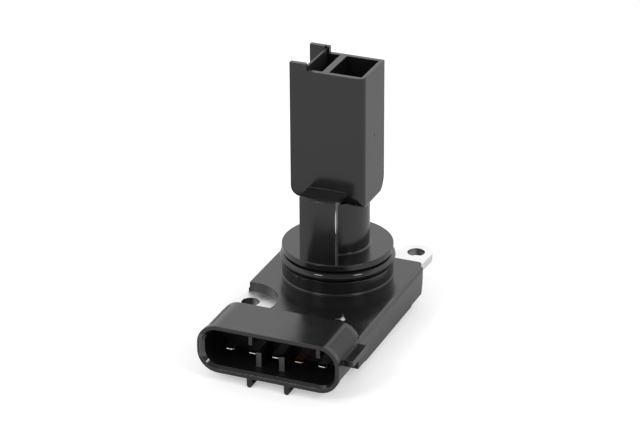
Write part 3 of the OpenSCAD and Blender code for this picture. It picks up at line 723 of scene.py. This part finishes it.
bpy.ops.object.select_all(action="DESELECT")
bpy.ops.mesh.primitive_circle_add(vertices=WIRE_SIDES, radius=WIRE * MM,
                                  location=middle_of("heated_element"), rotation=(math.radians(90), 0, 0))
winding = bpy.context.object
bpy.ops.object.transform_apply(location=False, rotation=True, scale=True)
bpy.ops.object.mode_set(mode="EDIT")
bpy.ops.mesh.select_all(action="SELECT")
bpy.ops.transform.translate(value=(-WIND_PITCH * WIND_TURNS / 2 * MM, 0, ROD * MM))
bpy.ops.object.mode_set(mode="OBJECT")
sweep = winding.modifiers.new("sweep", "SCREW")
sweep.axis = "X"
sweep.steps = STEPS_A_TURN
sweep.render_steps = STEPS_A_TURN
sweep.screw_offset = WIND_PITCH * MM
sweep.iterations = WIND_TURNS
bpy.ops.object.modifier_apply(modifier="sweep")
bpy.ops.object.mode_set(mode="EDIT")
bpy.ops.mesh.select_all(action="SELECT")
bpy.ops.mesh.remove_doubles(threshold=SAME_PLACE * MM)
bpy.ops.mesh.select_all(action="SELECT")
bpy.ops.mesh.fill_holes(sides=WIRE_SIDES)
bpy.ops.mesh.select_all(action="SELECT")
bpy.ops.mesh.normals_make_consistent(inside=False)
bpy.ops.object.mode_set(mode="OBJECT")
print("turns:", WIND_TURNS, "over", round(WIND_TURNS * WIND_PITCH, 2), "mm")

# %% A second winding on the reference element
select_only(winding)
bpy.ops.object.duplicate(linked=False)
second = bpy.context.object
bpy.ops.transform.translate(value=middle_of("reference_element") - middle_of("heated_element"))
hand_over(winding, "heated_winding", "tin")
hand_over(second, "reference_winding", "tin")

# %% [markdown]
# ## Weld beads
# Each element's wires are welded to the tips of two flat leads, under a small bead. The bead is a ball
# whose lower half is drawn down round the lead like a drop. It is modelled once, copied to all six tips,
# and the copies are joined into one piece.

# %% One bead and its copies
LEAD = 0.7
BEAD = 0.43
BEAD_AROUND = 20
BEAD_RINGS = 12
BEAD_DROP = 0.45
BELOW_MIDDLE = 0.01
STRETCH_DOWN = 1.7
FLARE = 1.15

tips = []
for leads, along in (("heated_leads", 0), ("reference_leads", 0), ("air_leads", 1)):
    low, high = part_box(leads)
    for end, inwards in ((low, 1), (high, -1)):
        tip = middle_of(leads)
        tip[along] = end[along] + inwards * LEAD / 2 * MM
        tip.z = high[2]
        tips.append(tip)

bpy.ops.object.select_all(action="DESELECT")
bpy.ops.mesh.primitive_uv_sphere_add(segments=BEAD_AROUND, ring_count=BEAD_RINGS, radius=BEAD * MM,
                                     location=tips[0])
bead = bpy.context.object
bpy.ops.object.mode_set(mode="EDIT")
bpy.context.tool_settings.mesh_select_mode = (True, False, False)
pick(bead, "verts", lambda vert: vert.co.z < -BELOW_MIDDLE * MM)
bpy.ops.transform.resize(value=(1, 1, STRETCH_DOWN), center_override=tips[0])
pick(bead, "verts", lambda vert: vert.co.z < -BEAD_DROP * MM)
bpy.ops.transform.resize(value=(FLARE, FLARE, 1), center_override=tips[0])
bpy.ops.object.mode_set(mode="OBJECT")
beads = [bead]
for tip in tips[1:]:
    select_only(bead)
    bpy.ops.object.duplicate(linked=False)
    bpy.ops.transform.translate(value=tip - tips[0])
    beads.append(bpy.context.object)
select_only(bead)
for other in beads[1:]:
    other.select_set(True)
bpy.ops.object.join()
hand_over(bpy.context.object, "weld_beads", "tin")

# %% [markdown]
# ## Lead-in of the connector
# Just inside the mouth, the real shroud has a slanted band that guides the plug in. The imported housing
# has a square edge there, so the band is added as a thin wedge on the wall. A plane a hair larger than
# the opening, so that no gap shows, gets round corners from a vertex bevel, and one inset with a depth
# makes the slope. Its outer edge is then extruded along the wall and bridged to the inner edge, which
# closes the wedge.

# %% The slanted band inside the mouth
MOUTH_MIDDLE = (0, -43.49, -2.975)
MOUTH_SIZE = (34.54, 10.49)
MOUTH_RADIUS = 4.27
LEAD_IN = 0.7
LEAD_IN_DEPTH = 0.95
LEAD_IN_BACK = 1.6
CORNER_STEPS = 16

bpy.ops.object.select_all(action="DESELECT")
bpy.ops.mesh.primitive_plane_add(size=MM, location=[c * MM for c in MOUTH_MIDDLE],
                                 rotation=(math.radians(90), 0, 0))
band = bpy.context.object
band.scale = (*MOUTH_SIZE, 1)
bpy.ops.object.transform_apply(location=False, rotation=True, scale=True)
bpy.ops.object.mode_set(mode="EDIT")
bpy.context.tool_settings.mesh_select_mode = (True, False, False)
bpy.ops.mesh.select_all(action="SELECT")
bpy.ops.mesh.bevel(offset=MOUTH_RADIUS * MM, segments=CORNER_STEPS, affect="VERTICES")
bpy.context.tool_settings.mesh_select_mode = (False, False, True)
bpy.ops.mesh.select_all(action="SELECT")
bpy.ops.mesh.inset(thickness=LEAD_IN * MM, depth=-LEAD_IN_DEPTH * MM)
bpy.ops.mesh.delete(type="FACE")
bpy.context.tool_settings.mesh_select_mode = (False, True, False)
pick(band, "edges", lambda edge: all(abs(v.co.y) < NEARLY * MM for v in edge.verts))
bpy.ops.mesh.extrude_region_move(TRANSFORM_OT_translate={"value": (0, LEAD_IN_BACK * MM, 0)})
pick(band, "edges", lambda edge: all(v.co.y > LEAD_IN_DEPTH / 2 * MM for v in edge.verts))
bpy.ops.mesh.bridge_edge_loops()
bpy.ops.mesh.select_all(action="SELECT")
bpy.ops.mesh.normals_make_consistent(inside=False)
bpy.ops.object.mode_set(mode="OBJECT")
hand_over(band, "mouth_lead_in", "housing_plastic")

# %% Update the scene
bpy.context.view_layer.update()
